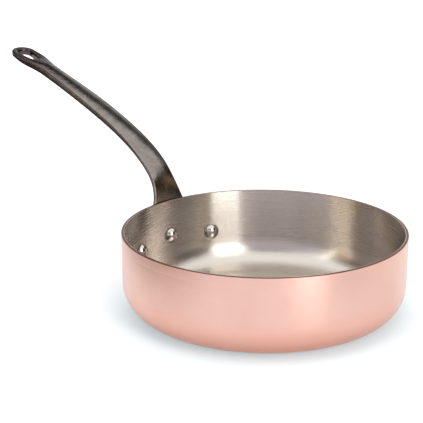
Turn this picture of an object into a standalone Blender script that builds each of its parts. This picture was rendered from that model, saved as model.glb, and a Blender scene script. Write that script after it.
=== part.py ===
"""A saute pan: a copper shell lined with steel, and a cast iron handle held by three rivets.

Lengths are in metres and Z is up. The origin is the middle of the base, on the surface that the pan
stands on, and the handle points along -X.
"""
import math

import bmesh
import bpy
from mathutils import Matrix, Vector

# The pan
PAN_DIAMETER = 0.240
PAN_HEIGHT = 0.0712
CORNER_RADIUS = 0.0280
WALL_DRAFT = 0.0004
COPPER_THICKNESS = 0.0017
LINING_THICKNESS = 0.0005
RIM_CHAMFER = 0.00015

# The clearance that every seated face keeps
FIT = 0.0003

# How far a cutter stands clear of what it cuts
OVERSHOOT = 0.0040

# The rivets
SHANK_RADIUS = 0.0030
DOME_RADIUS = 0.0070
DOME_HEIGHT = 0.0047
SET_HEAD_RADIUS = 0.0056
SET_HEAD_HEIGHT = 0.0024
RIVET_SPREAD = 0.0429
SIDE_RIVET_DROP = 0.0367
MIDDLE_RIVET_RISE = 0.0040

# The handle's flange, which hugs the wall
EAR_RADIUS = 0.0105
PLATE_THICKNESS = 0.0034
EDGE_ROUNDING = 0.0011
END_ROUNDING = 0.0007
FLANGE_ARCH = 0.0020
FILLET_LENGTH = 0.0540
LEAVES_BELOW_RIM = 0.0062

# The handle's stem, whose line is one cubic curve that leaves the wall upright and droops at the tip
STEM_REACH = 0.2212
STEM_RISE = 0.1166
STEM_LIFT = 0.0518
STEM_DRAW = 0.1420
END_SLOPE = math.radians(16.2)
TIP_DROOP = 0.0027
DROOP_LENGTH = 0.0500
ROOT_WIDTH = 0.0244
GRIP_WIDTH = 0.0216
NECK_WIDTH = 0.0174
NECK_TO_EYE = 0.0290
EYE_END_WIDTH = 0.0236
STEM_SIDE = 0.0059
NECK_THICKNESS = 0.0067
EYE_END_THICKNESS = 0.0068
TIP_THICKNESS = 0.0043
TOP_CROWN = 0.0012
ROOT_BELLY = 0.0040
GRIP_BELLY = 0.0016

# The hanging eye: an egg of two rounds, the larger one near the tip
EYE_LENGTH = 0.0268
EYE_LARGE_RADIUS = 0.0070
EYE_SMALL_RADIUS = 0.0046
EYE_TIP_LAND = 0.0065
EYE_ROUNDING = 0.0017
EYE_CHAMFER = 0.0004

# How finely the round forms are divided
PAN_SIDES = 72
CORNER_STEPS = 9
RIVET_SIDES = 16
DOME_STEPS = 6
FACE_COLUMNS = 11
COLUMN_CROWDING = 1.3
EAR_STEPS = 9
FILLET_STEPS = 10
STEM_STEPS = 22
TIP_STEPS = 6
CURVE_SAMPLES = 400
EYE_LARGE_STEPS = 12
EYE_SMALL_STEPS = 9
EYE_ROUNDING_STEPS = 3
SHARP_ANGLE = math.radians(35)
MERGE = 1e-7

PAN_RADIUS = PAN_DIAMETER / 2
LINING_OUTSIDE = COPPER_THICKNESS + FIT
LINING_INSIDE = LINING_OUTSIDE + LINING_THICKNESS
SIDE_RIVET_HEIGHT = PAN_HEIGHT - SIDE_RIVET_DROP
MIDDLE_RIVET_HEIGHT = SIDE_RIVET_HEIGHT + MIDDLE_RIVET_RISE
LEAVE_HEIGHT = PAN_HEIGHT - LEAVES_BELOW_RIM


def clear_scene():
    for obj in list(bpy.data.objects):
        bpy.data.objects.remove(obj, do_unlink=True)


def finish(name, color, roughness):
    """A metal with the part's own colour and roughness."""
    material = bpy.data.materials.new(name)
    material.use_nodes = True
    shader = material.node_tree.nodes["Principled BSDF"]
    shader.inputs["Base Color"].default_value = (*color, 1.0)
    shader.inputs["Metallic"].default_value = 1.0
    shader.inputs["Roughness"].default_value = roughness
    return material


def add_object(name, bm, material):
    """Turns a bmesh into a named object with smooth round faces and sharp corners."""
    mesh = bpy.data.meshes.new(name)
    bmesh.ops.recalc_face_normals(bm, faces=bm.faces)
    bm.to_mesh(mesh)
    bm.free()
    mesh.shade_smooth()
    mesh.set_sharp_from_angle(angle=SHARP_ANGLE)
    if material:
        mesh.materials.append(material)
    obj = bpy.data.objects.new(name, mesh)
    bpy.context.scene.collection.objects.link(obj)
    return obj


def cut(target, cutter):
    modifier = target.modifiers.new(cutter.name, "BOOLEAN")
    modifier.operation = "DIFFERENCE"
    modifier.solver = "EXACT"
    modifier.object = cutter
    cutter.hide_render = True
    cutter.display_type = "WIRE"


def turned(outline, sides):
    """A bmesh turned about Z from (radius, height) points that start and end on the axis."""
    bm = bmesh.new()
    verts = [bm.verts.new((radius, 0.0, height)) for radius, height in outline]
    edges = [bm.edges.new(pair) for pair in zip(verts, verts[1:])]
    bmesh.ops.spin(bm, geom=verts + edges, cent=(0, 0, 0), axis=(0, 0, 1), angle=math.tau,
                   steps=sides, use_merge=True)
    bmesh.ops.remove_doubles(bm, verts=bm.verts, dist=MERGE)
    return bm


def dissolve_poles(bm):
    """Makes each flat fan round the axis one round face."""
    poles = [vert for vert in bm.verts if vert.co.xy.length < MERGE]
    bmesh.ops.dissolve_verts(bm, verts=poles)


def arc(center, radius, start, end, steps):
    """Points on an arc, its angles in degrees from the direction of the first axis."""
    angles = [math.radians(start + (end - start) * i / steps) for i in range(steps + 1)]
    return [(center[0] + radius * math.cos(a), center[1] + radius * math.sin(a)) for a in angles]


def wall_outline(inset):
    """The pan's profile from the middle of the floor to the rim, this far inside its outer face."""
    low_radius = PAN_RADIUS - WALL_DRAFT
    corner = arc((low_radius - CORNER_RADIUS, CORNER_RADIUS), CORNER_RADIUS - inset, -90, 0, CORNER_STEPS)
    return [(0.0, inset)] + corner + [(PAN_RADIUS - inset, PAN_HEIGHT)]


def wall_radius(height, inset=0.0):
    """The wall's radius at a height, this far inside its outer face."""
    low_radius = PAN_RADIUS - WALL_DRAFT
    if height >= CORNER_RADIUS:
        share = (height - CORNER_RADIUS) / (PAN_HEIGHT - CORNER_RADIUS)
        return low_radius + WALL_DRAFT * share - inset
    drop = CORNER_RADIUS - height
    across = math.sqrt(max((CORNER_RADIUS - inset) ** 2 - drop ** 2, 0.0))
    return low_radius - CORNER_RADIUS + across


def pan_layer(name, outside, inside, material):
    """One metal layer of the pan, between two insets from its outer face, cut straight at the rim."""
    outer = wall_outline(outside)
    inner = wall_outline(inside)
    corner = PAN_HEIGHT - RIM_CHAMFER
    outer[-1:] = [(outer[-1][0], corner), (outer[-1][0] - RIM_CHAMFER, PAN_HEIGHT)]
    inner[-1:] = [(inner[-1][0], corner), (inner[-1][0] + RIM_CHAMFER, PAN_HEIGHT)]
    bm = turned(outer + inner[::-1], PAN_SIDES)
    dissolve_poles(bm)
    return add_object(name, bm, material)


def rivet_places():
    """Each rivet's name, height and angle round the pan from the handle's direction."""
    spread = math.asin(RIVET_SPREAD / (wall_radius(SIDE_RIVET_HEIGHT) + FIT))
    return [("rivet_left", SIDE_RIVET_HEIGHT, -spread),
            ("rivet_middle", MIDDLE_RIVET_HEIGHT, 0.0),
            ("rivet_right", SIDE_RIVET_HEIGHT, spread)]


def rivet_frame(height, angle):
    """Carries a form along +Z, at its distance from the pan's axis, out to a rivet's place."""
    lift = Matrix.Translation((0, 0, height))
    return lift @ Matrix.Rotation(math.pi + angle, 4, "Z") @ Matrix.Rotation(math.pi / 2, 4, "Y")


def cap_points(radius, height, base, direction):
    """The round top of a head, from its rim to its crown on the axis."""
    ball = (radius ** 2 + height ** 2) / (2 * height)
    reach = math.asin(min(radius / ball, 1.0))
    if height > radius:
        reach = math.pi - reach
    points = []
    for i in range(DOME_STEPS + 1):
        angle = reach * (1 - i / DOME_STEPS)
        points.append((ball * math.sin(angle), base + direction * (height - ball + ball * math.cos(angle))))
    points[-1] = (0.0, base + direction * height)
    return points


def make_rivet(name, height, angle, material):
    """A solid rivet: a dome inside the pan, a shank through wall and flange, and a low head outside."""
    inner_seat = math.sqrt(wall_radius(height - DOME_RADIUS, LINING_INSIDE) ** 2 - DOME_RADIUS ** 2) - FIT
    outer_seat = wall_radius(height) + FIT + PLATE_THICKNESS + FIT
    dome = cap_points(DOME_RADIUS, DOME_HEIGHT, inner_seat, -1)
    head = cap_points(SET_HEAD_RADIUS, SET_HEAD_HEIGHT, outer_seat, 1)
    outline = dome[::-1] + [(SHANK_RADIUS, inner_seat), (SHANK_RADIUS, outer_seat)] + head
    bm = turned(outline, RIVET_SIDES)
    bm.transform(rivet_frame(height, angle))
    return add_object(name, bm, material)


def make_rivet_bores():
    """The cutter for the three holes through lining, copper and flange."""
    bm = bmesh.new()
    depth = 2 * (FIT + PLATE_THICKNESS + OVERSHOOT)
    for _, height, angle in rivet_places():
        middle = Matrix.Translation((0, 0, wall_radius(height)))
        bmesh.ops.create_cone(bm, cap_ends=True, segments=RIVET_SIDES, radius1=SHANK_RADIUS + FIT,
                              radius2=SHANK_RADIUS + FIT, depth=depth,
                              matrix=rivet_frame(height, angle) @ middle)
    return add_object("rivet_bores", bm, None)


def cubic(ends, t):
    a, b, c, d = ends
    s = 1 - t
    return a * s ** 3 + b * (3 * s * s * t) + c * (3 * s * t * t) + d * t ** 3


def cubic_direction(ends, t):
    a, b, c, d = ends
    s = 1 - t
    return ((b - a) * (s * s) + (c - b) * (2 * s * t) + (d - c) * (t * t)).normalized()


class Spine:
    """The line along the middle of the handle's inner face, in (distance from the pan's axis, height).

    It climbs the wall from the flange's lower edge, leaves it upright below the rim, bends outwards and
    droops a little at the tip. Places along it are given by their distance from the flange's lower edge.
    """

    def __init__(self):
        start = Vector((wall_radius(LEAVE_HEIGHT) + FIT, LEAVE_HEIGHT))
        end = start + Vector((STEM_REACH, STEM_RISE))
        draw = Vector((math.cos(END_SLOPE), math.sin(END_SLOPE))) * STEM_DRAW
        self.ends = (start, start + Vector((0, STEM_LIFT)), end - draw, end)
        self.bottom = SIDE_RIVET_HEIGHT - EAR_RADIUS
        self.leaves = LEAVE_HEIGHT - self.bottom
        self.lengths = [0.0]
        last = start
        for i in range(1, CURVE_SAMPLES + 1):
            point = cubic(self.ends, i / CURVE_SAMPLES)
            self.lengths.append(self.lengths[-1] + (point - last).length)
            last = point
        self.length = self.leaves + self.lengths[-1]

    def share(self, distance):
        """The curve's own parameter at a distance along it."""
        along = min(max(distance - self.leaves, 0.0), self.lengths[-1])
        i = next((k for k, length in enumerate(self.lengths) if length > along), CURVE_SAMPLES)
        step = self.lengths[i] - self.lengths[i - 1]
        return (i - 1 + (along - self.lengths[i - 1]) / step) / CURVE_SAMPLES

    def place(self, distance):
        """The point at a distance, and the direction that the inner face looks in there."""
        if distance <= self.leaves:
            height = self.bottom + distance
            return Vector((wall_radius(height) + FIT, height)), Vector((-1.0, 0.0))
        t = self.share(distance)
        drooping = max(distance - self.length + DROOP_LENGTH, 0.0) / DROOP_LENGTH
        point = cubic(self.ends, t) - Vector((0.0, TIP_DROOP * drooping ** 2))
        fall = 2 * TIP_DROOP * drooping / DROOP_LENGTH
        direction = (cubic_direction(self.ends, t) - Vector((0.0, fall))).normalized()
        return point, Vector((-direction.y, direction.x))


def ease(x):
    x = min(max(x, 0.0), 1.0)
    return x * x * (3 - 2 * x)


def eased(stations, distance):
    """A value that passes smoothly through (distance, value) stations."""
    if distance <= stations[0][0]:
        return stations[0][1]
    for (a, low), (b, high) in zip(stations, stations[1:]):
        if distance <= b:
            return low + (high - low) * ease((distance - a) / (b - a))
    return stations[-1][1]


class HandleShape:
    """The handle's half width, thickness, crown and belly at each distance along its spine."""

    def __init__(self, spine):
        self.spine = spine
        self.ear_top = 2 * EAR_RADIUS
        self.fillet_end = self.ear_top + FILLET_LENGTH
        self.rim = PAN_HEIGHT - spine.bottom
        self.tip_center = spine.length - EYE_END_WIDTH / 2
        self.eye_start = self.tip_center - EYE_LENGTH / 2
        self.neck = self.eye_start - NECK_TO_EYE
        self.grip = (self.fillet_end + self.neck) / 2
        stem = self.fillet_end
        self.widths = [(stem, ROOT_WIDTH / 2), (self.grip, GRIP_WIDTH / 2), (self.neck, NECK_WIDTH / 2),
                       (self.eye_start, EYE_END_WIDTH / 2)]
        self.sides = [(self.rim, PLATE_THICKNESS), (self.grip, STEM_SIDE), (self.neck, NECK_THICKNESS),
                      (self.eye_start, EYE_END_THICKNESS), (spine.length, TIP_THICKNESS)]
        self.crowns = [(self.rim, 0.0), (self.fillet_end, TOP_CROWN), (self.neck, TOP_CROWN),
                       (self.eye_start, 0.0)]
        root = MIDDLE_RIVET_HEIGHT + SET_HEAD_RADIUS + EDGE_ROUNDING - spine.bottom
        self.bellies = [(root, 0.0), (self.rim, ROOT_BELLY), (self.grip, GRIP_BELLY), (self.neck, GRIP_BELLY),
                        (self.eye_start, 0.0)]
        self.wraps = [(spine.leaves, 1.0), (self.fillet_end, 0.0)]
        self.ribs = [(root, ROOT_WIDTH / 2 + EDGE_ROUNDING), (self.fillet_end, ROOT_WIDTH / 2)]

    def stations(self):
        """Distances of the rows, with each row's half width: ears, fillet, stem and rounded tip."""
        rows = []
        ear = arc((RIVET_SPREAD, EAR_RADIUS), EAR_RADIUS, -90, 90, EAR_STEPS)
        rows += [(distance, half) for half, distance in ear]
        fillet_width = RIVET_SPREAD - ROOT_WIDTH / 2
        for i in range(1, FILLET_STEPS + 1):
            angle = math.pi / 2 * i / FILLET_STEPS
            distance = self.fillet_end - FILLET_LENGTH * math.cos(angle)
            rows.append((distance, RIVET_SPREAD - fillet_width * math.sin(angle)))
        for i in range(1, STEM_STEPS + 1):
            distance = self.fillet_end + (self.tip_center - self.fillet_end) * i / STEM_STEPS
            rows.append((distance, eased(self.widths, distance)))
        half = EYE_END_WIDTH / 2
        for i in range(1, TIP_STEPS):
            angle = math.pi / 2 * i / TIP_STEPS
            rows.append((self.tip_center + half * math.sin(angle), half * math.cos(angle)))
        return rows

    def chains(self, distance, half, inset=0.0):
        """The section's upper and lower outlines, from +Y to -Y, as (across, out of the inner face)."""
        side = eased(self.sides, distance)
        rounding = min(EDGE_ROUNDING, half / 2)
        crown = eased(self.crowns, distance)
        belly = eased(self.bellies, distance)
        rib = eased(self.ribs, distance)
        flat = half - rounding
        corner = math.radians(45)
        upper = [(half, -rounding), (flat + rounding * math.cos(corner), -rounding + rounding * math.sin(corner))]
        lower = [(half, rounding - side),
                 (flat + rounding * math.cos(corner), rounding - side - rounding * math.sin(corner))]
        for i in range(FACE_COLUMNS):
            v = 1 - 2 * i / (FACE_COLUMNS - 1)
            across = flat * math.copysign(abs(v) ** COLUMN_CROWDING, v)
            swell = max(1 - (across / min(rib, flat)) ** 2, 0.0)
            upper.append((across, crown * (1 - (across / flat) ** 2)))
            lower.append((across, -side - belly * swell))
        upper += [(-across, out) for across, out in reversed(upper[:2])]
        lower += [(-across, out) for across, out in reversed(lower[:2])]
        if inset:
            upper = [(across * (1 - inset / half), out - inset) for across, out in upper]
            lower = [(across * (1 - inset / half), out + inset) for across, out in lower]
        return upper, lower

    def point(self, distance, across, out, half):
        """A section point in the pan's frame: the flange wraps round the wall, the stem runs straight."""
        wrap = eased(self.wraps, distance)
        arch = FLANGE_ARCH * (1 - ease(distance / self.ear_top)) * (1 - min(abs(across) / half, 1.0) ** 2)
        middle, facing = self.spine.place(distance)
        radius = middle.x
        sink = wrap * (radius - math.sqrt(max(radius ** 2 - across ** 2, 0.0)))
        turn = wrap * math.asin(max(min(across / radius, 1.0), -1.0))
        reach = facing.x * out
        x = radius - sink + reach * math.cos(turn)
        y = across + reach * math.sin(turn)
        return Vector((-x, -y, middle.y + arch + facing.y * out))


def make_handle(material):
    """One casting: rows of section points from the flange's lower edge to the tip, skinned and closed."""
    shape = HandleShape(Spine())
    rows = shape.stations()
    first_distance, first_half = rows[0]
    last_distance, last_half = rows[-1]
    sections = [(first_distance, first_half, END_ROUNDING)]
    sections += [(first_distance + END_ROUNDING, first_half + END_ROUNDING, 0.0)]
    sections += [(distance, half, 0.0) for distance, half in rows[1:]]
    sections += [(min(last_distance + END_ROUNDING, shape.spine.length), last_half, END_ROUNDING)]
    bm = bmesh.new()
    loops = []
    for distance, half, inset in sections:
        upper, lower = shape.chains(distance, half, inset)
        top = [bm.verts.new(shape.point(distance, across, out, half)) for across, out in upper]
        under = [bm.verts.new(shape.point(distance, across, out, half)) for across, out in lower]
        loops.append((top, under))
    for (top, under), (next_top, next_under) in zip(loops, loops[1:]):
        ring, next_ring = top + under[::-1], next_top + next_under[::-1]
        for i in range(len(ring)):
            j = (i + 1) % len(ring)
            bm.faces.new((ring[i], ring[j], next_ring[j], next_ring[i]))
    for top, under in (loops[0], loops[-1]):
        for i in range(len(top) - 1):
            bm.faces.new((top[i], top[i + 1], under[i + 1], under[i]))
    handle = add_object("handle", bm, material)
    cut(handle, make_eye_cutter(shape))
    return handle


def egg(offset):
    """The eye's outline as (along the handle, across it), from the large round's middle, grown by an offset."""
    span = EYE_LENGTH - EYE_LARGE_RADIUS - EYE_SMALL_RADIUS
    lean = math.degrees(math.asin((EYE_LARGE_RADIUS - EYE_SMALL_RADIUS) / span))
    large = arc((0, 0), EYE_LARGE_RADIUS + offset, -90 - lean, 90 + lean, EYE_LARGE_STEPS)
    small = arc((-span, 0), EYE_SMALL_RADIUS + offset, 90 + lean, 270 - lean, EYE_SMALL_STEPS)
    return large + small


def make_eye_cutter(shape):
    """The cutter for the hanging eye, which follows the tip's droop: rounded on top, chamfered below."""
    large_center = shape.spine.length - EYE_TIP_LAND - EYE_LARGE_RADIUS
    tops = [(OVERSHOOT, EYE_ROUNDING)]
    tops += [(out - EYE_ROUNDING, EYE_ROUNDING - offset)
             for offset, out in arc((0, 0), EYE_ROUNDING, 90, 0, EYE_ROUNDING_STEPS)]
    bottoms = [(EYE_CHAMFER, 0.0), (0.0, EYE_CHAMFER), (-OVERSHOOT, EYE_CHAMFER)]
    levels = [(out, offset, 0.0) for out, offset in tops] + [(out, offset, 1.0) for out, offset in bottoms]
    bm = bmesh.new()
    rings = []
    for out, offset, depth in levels:
        ring = []
        for along, across in egg(offset):
            distance = large_center + along
            middle, facing = shape.spine.place(distance)
            point = middle + facing * (out - depth * eased(shape.sides, distance))
            ring.append(bm.verts.new((-point.x, -across, point.y)))
        rings.append(ring)
    for ring, next_ring in zip(rings, rings[1:]):
        for i in range(len(ring)):
            j = (i + 1) % len(ring)
            bm.faces.new((ring[i], ring[j], next_ring[j], next_ring[i]))
    bm.faces.new(rings[0])
    bm.faces.new(rings[-1])
    return add_object("eye_cutter", bm, None)


def main():
    clear_scene()
    copper = finish("polished_copper", (0.86, 0.44, 0.32), 0.25)
    steel = finish("brushed_steel", (0.60, 0.58, 0.55), 0.35)
    iron = finish("cast_iron", (0.07, 0.065, 0.06), 0.50)
    rivet_steel = finish("polished_steel", (0.70, 0.69, 0.67), 0.15)

    shell = pan_layer("copper_shell", 0.0, COPPER_THICKNESS, copper)
    lining = pan_layer("steel_lining", LINING_OUTSIDE, LINING_INSIDE, steel)
    handle = make_handle(iron)
    bores = make_rivet_bores()
    for piece in (shell, lining, handle):
        cut(piece, bores)
    for name, height, angle in rivet_places():
        make_rivet(name, height, angle, rivet_steel)


main()
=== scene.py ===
# %% [markdown]
# # A copper saute pan, dressed for its photograph
#
# The pan is a spun copper body with a thin stainless steel lining, a bent cast iron handle and three
# rivets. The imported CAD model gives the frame: every length below is in metres, in the CAD's own axes,
# with the handle along -X and the base on Z = 0. The CAD solids are faceted, and polished metal shows
# every facet, so each one gets a finely modelled piece that stands for it.

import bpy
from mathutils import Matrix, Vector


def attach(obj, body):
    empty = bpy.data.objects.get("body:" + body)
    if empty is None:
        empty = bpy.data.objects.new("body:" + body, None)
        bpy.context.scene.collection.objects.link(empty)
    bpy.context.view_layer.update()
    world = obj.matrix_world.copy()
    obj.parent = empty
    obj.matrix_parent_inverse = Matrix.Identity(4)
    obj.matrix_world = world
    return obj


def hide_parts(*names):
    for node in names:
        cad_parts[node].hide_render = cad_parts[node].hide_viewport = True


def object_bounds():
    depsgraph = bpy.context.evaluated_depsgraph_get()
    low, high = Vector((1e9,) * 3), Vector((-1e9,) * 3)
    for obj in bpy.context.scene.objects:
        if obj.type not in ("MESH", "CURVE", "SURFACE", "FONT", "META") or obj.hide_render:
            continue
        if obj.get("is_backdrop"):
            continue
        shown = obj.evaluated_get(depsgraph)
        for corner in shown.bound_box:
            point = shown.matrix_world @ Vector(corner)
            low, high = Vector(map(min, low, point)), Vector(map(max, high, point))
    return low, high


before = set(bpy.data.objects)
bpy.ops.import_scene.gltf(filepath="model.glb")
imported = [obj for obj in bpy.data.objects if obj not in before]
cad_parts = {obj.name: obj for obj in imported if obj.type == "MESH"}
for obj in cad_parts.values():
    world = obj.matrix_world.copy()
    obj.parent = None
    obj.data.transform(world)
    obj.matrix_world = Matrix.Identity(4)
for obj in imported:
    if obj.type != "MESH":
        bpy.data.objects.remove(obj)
cad_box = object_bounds()
print("CAD nodes:", sorted(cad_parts))
print("CAD box:", [[round(value, 4) for value in corner] for corner in cad_box])

# %% [markdown]
# ## Sizes
#
# The sizes are the pan's own, and all but a few fine ones are the same as in the CAD source. The two that
# the others stand on come first. Each cell below then gives the sizes that its own step needs.

# %% The pan's two main sizes
import bisect
import math

import bmesh
import bpy
from mathutils import Matrix, Vector
from mathutils.geometry import interpolate_bezier

MM = 0.001
PAN_RADIUS = 120 * MM
PAN_HEIGHT = 71.2 * MM
print("the pan is", round(2 * PAN_RADIUS / MM, 1), "mm across and", round(PAN_HEIGHT / MM, 1), "mm high")

# %% [markdown]
# ## The camera
#
# The pan's rim is a circle, so its ellipse in the photograph gives the camera: a long lens, 17 degrees
# above the table. The handle then fixes how far the pan is turned.

# %% The camera
CAMERA_PLACE = (0.81926, -0.83603, 0.44904)
CAMERA_PITCH = 17.19
CAMERA_TURN = 46.6
LENS = 124.838
SENSOR_WIDTH = 36

camera_data = bpy.data.cameras.new("camera")
camera_data.lens = LENS
camera_data.sensor_width = SENSOR_WIDTH
camera = bpy.data.objects.new("camera", camera_data)
camera.location = CAMERA_PLACE
camera.rotation_euler = (math.radians(90 - CAMERA_PITCH), 0, math.radians(CAMERA_TURN))
bpy.context.scene.collection.objects.link(camera)
bpy.context.scene.camera = camera
print("camera stands", round(Vector(CAMERA_PLACE).length, 3), "m from the pan")

# %% [markdown]
# ## Helpers for materials
#
# A colour is written as it looks on screen, in sRGB, and one function turns it to the linear values that
# the shader works in. One function adds a node with its settings and its links.
#
# Some nodes have more than one socket of the same name, so those are given by number. A Mix node has its
# share at 0, its two numbers at 2 and 3 and its two colours at 6 and 7, and the mixed colour leaves it at
# 2. A Map Range node has the value at 0, the range that it comes from at 1 and 2, and the range that it
# goes to at 3 and 4, which is 0 to 1 if nothing is given.

# %% Colour and node helpers
def linear(hex_color):
    """An sRGB colour such as "#B87333" as linear red, green, blue and alpha."""
    channels = [int(hex_color[i:i + 2], 16) / 255 for i in (1, 3, 5)]
    curve = [c / 12.92 if c <= 0.04045 else ((c + 0.055) / 1.055) ** 2.4 for c in channels]
    return (*curve, 1.0)


def add_node(tree, kind, inputs=None, **settings):
    """Adds a node. Inputs are given by name or number, as a value or as another node's output."""
    node = tree.nodes.new(kind)
    for name, value in settings.items():
        setattr(node, name, value)
    for socket, value in (inputs or {}).items():
        if isinstance(value, bpy.types.NodeSocket):
            tree.links.new(value, node.inputs[socket])
        else:
            node.inputs[socket].default_value = value
    return node


def new_material(name, **sockets):
    """A Principled material with these values on the shader's own sockets."""
    material = bpy.data.materials.new(name)
    material.use_nodes = True
    shader = material.node_tree.nodes["Principled BSDF"]
    for socket, value in sockets.items():
        shader.inputs[socket.replace("_", " ")].default_value = value
    return material, material.node_tree, shader


print("middle grey #808080 is", round(linear("#808080")[0], 3), "in linear light")

# %% [markdown]
# ## Marks of turning and brushing
#
# Both the copper and its lining are finished while the pan spins, so their fine lines run round it. The
# pattern is noise on three numbers: the two of the direction round the axis, which change slowly along a
# line, and the distance up the wall plus the distance from the axis, which changes quickly from line to
# line. That sum keeps growing from the middle of the floor to the rim, so the lines follow floor, corner
# and wall.
#
# The flanks of such grooves lean up and down the wall but never sideways. Each spot therefore mirrors
# sharply from side to side and spreads its light up and down, which makes upright bands. The second
# function leans the normal that way, because one bump or one roughness can't spread so unevenly.
#
# Noise seldom leaves its middle, so that part of it is stretched to the range that is wanted. A falling
# range goes from 1 down to 0.

# %% The lines round the pan and the flanks of their grooves
NOISE_MIDDLE = {1: 0.3, 2: 0.7}
FLANK_MIDDLE = {1: 0.25, 2: 0.75}
FALLING = {3: 1.0, 4: 0.0}


def turning_lines(tree, pitch, swing=1.5):
    """Noise in lines round Z, the lines this far apart. The swing is how much they change on their way."""
    place = add_node(tree, "ShaderNodeTexCoord").outputs["Object"]
    flat = add_node(tree, "ShaderNodeVectorMath", {0: place, 1: (1, 1, 0)}, operation="MULTIPLY").outputs[0]
    radius = add_node(tree, "ShaderNodeVectorMath", {0: flat}, operation="LENGTH").outputs["Value"]
    height = add_node(tree, "ShaderNodeSeparateXYZ", {0: place}).outputs["Z"]
    along = add_node(tree, "ShaderNodeMath", {0: radius, 1: height}, operation="ADD").outputs[0]
    lane = add_node(tree, "ShaderNodeMath", {0: along, 1: 1 / pitch}, operation="MULTIPLY").outputs[0]
    way = add_node(tree, "ShaderNodeVectorMath", {0: flat}, operation="NORMALIZE").outputs[0]
    swung = add_node(tree, "ShaderNodeVectorMath", {0: way, "Scale": swing}, operation="SCALE").outputs[0]
    up = add_node(tree, "ShaderNodeCombineXYZ", {"Z": lane}).outputs[0]
    where = add_node(tree, "ShaderNodeVectorMath", {0: swung, 1: up}, operation="ADD").outputs[0]
    noise = add_node(tree, "ShaderNodeTexNoise", {"Vector": where, "Scale": 1.0, "Detail": 3.0})
    return noise.outputs["Fac"]


def groove_flanks(tree, wave, steepness):
    """The surface's normal, leaned across the lines by the wave's distance from its middle."""
    place = add_node(tree, "ShaderNodeTexCoord").outputs["Object"]
    normal = add_node(tree, "ShaderNodeNewGeometry").outputs["Normal"]
    along = add_node(tree, "ShaderNodeVectorMath", {0: (0, 0, 1), 1: place}, operation="CROSS_PRODUCT")
    across = add_node(tree, "ShaderNodeVectorMath", {0: normal, 1: along.outputs[0]},
                      operation="CROSS_PRODUCT")
    unit = add_node(tree, "ShaderNodeVectorMath", {0: across.outputs[0]}, operation="NORMALIZE").outputs[0]
    lean = add_node(tree, "ShaderNodeMapRange",
                    {0: wave, **FLANK_MIDDLE, 3: -steepness / 2, 4: steepness / 2}).outputs[0]
    leaned = add_node(tree, "ShaderNodeVectorMath", {0: unit, "Scale": lean}, operation="SCALE").outputs[0]
    total = add_node(tree, "ShaderNodeVectorMath", {0: normal, 1: leaned}, operation="ADD").outputs[0]
    return add_node(tree, "ShaderNodeVectorMath", {0: total}, operation="NORMALIZE").outputs[0]


print("the sum at the rim, where the lines end:", round((PAN_RADIUS + PAN_HEIGHT) / MM), "mm")

# %% [markdown]
# ## Copper, polished and lightly satined
#
# Bare copper is a pink metal. It was polished on the wheel and then rubbed with a fine pad while it spun,
# so it mirrors softly, and spreads more up and down than sideways. Its grooves are finer than 0.02 mm,
# too fine to see one by one. Low on the corner the tone is painted deeper and redder, a painted
# reflection of the shaded paper there, which the copper lights warmly. A thin dark brown line is painted
# round the top of the copper at the rim, a painted dark reflection along the rim's edge.

# %% Copper
COPPER_LINE = 0.015 * MM
COPPER_STEEPNESS = 0.6
COPPER_SPREAD = 0.4
CLOUD = 35 * MM
RIM_SHADE_BAND = 0.5 * MM
REFLECTION_FULL_TO = 5 * MM
REFLECTION_GONE_FROM = 34 * MM
COPPER_ROUGH = {3: 0.29, 4: 0.33}
ACROSS_THE_LINES = 0.25

copper, tree, shader = new_material("copper_satin_polished", Metallic=1.0, Anisotropic=COPPER_SPREAD,
                                    Anisotropic_Rotation=ACROSS_THE_LINES)
place = add_node(tree, "ShaderNodeTexCoord").outputs["Object"]
clouds = add_node(tree, "ShaderNodeTexNoise", {"Vector": place, "Scale": 1 / CLOUD, "Detail": 4.0})
tone = add_node(tree, "ShaderNodeMapRange", {0: clouds.outputs["Fac"], **NOISE_MIDDLE}).outputs[0]
tint = add_node(tree, "ShaderNodeMix", {0: tone, 6: linear("#E1BAAE"), 7: linear("#DDB4A6")},
                data_type="RGBA").outputs[2]
height = add_node(tree, "ShaderNodeSeparateXYZ", {0: place}).outputs["Z"]
# Painted reflection: low on the corner the copper is tinted deeper and redder, for the shaded, warmly lit
# paper that it mirrors there.
painted_reflection = add_node(tree, "ShaderNodeMapRange", {0: height, 1: REFLECTION_FULL_TO, 2: REFLECTION_GONE_FROM, **FALLING}).outputs[0]
tint = add_node(tree, "ShaderNodeMix", {0: painted_reflection, 6: tint, 7: linear("#E7A592")},
                data_type="RGBA").outputs[2]
# Painted shade: a thin dark brown line round the top of the copper at the rim, a painted dark reflection
# along the rim's edge.
cut = add_node(tree, "ShaderNodeMapRange",
               {0: height, 1: PAN_HEIGHT - RIM_SHADE_BAND, 2: PAN_HEIGHT - RIM_SHADE_BAND / 2}).outputs[0]
tint = add_node(tree, "ShaderNodeMix", {0: cut, 6: tint, 7: linear("#7A3A1E")}, data_type="RGBA").outputs[2]
rough = add_node(tree, "ShaderNodeMapRange", {0: clouds.outputs["Fac"], **NOISE_MIDDLE, **COPPER_ROUGH})
flanks = groove_flanks(tree, turning_lines(tree, COPPER_LINE), COPPER_STEEPNESS)
round_pan = add_node(tree, "ShaderNodeTangent", direction_type="RADIAL", axis="Z").outputs[0]
tree.links.new(tint, shader.inputs["Base Color"])
tree.links.new(rough.outputs[0], shader.inputs["Roughness"])
tree.links.new(flanks, shader.inputs["Normal"])
tree.links.new(round_pan, shader.inputs["Tangent"])
print("copper grooves up to the rim:", round(PAN_HEIGHT / COPPER_LINE))

# %% [markdown]
# ## Stainless steel, brushed round the pan
#
# The lining's wall was brushed with an abrasive wheel while the pan spun. A lamp becomes a bright bar with
# crisp sides there, spread far up and down. The floor was finished more evenly, with hardly a direction,
# so it answers with a soft bow of light. The one finish passes into the other over the round corner. The
# grooves are 0.02 mm apart. Wider streaks, a little rougher and darker, show where grit dragged. They are
# drawn 0.4 mm apart, which is coarser than on the real wall, because finer ones don't show.

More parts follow.
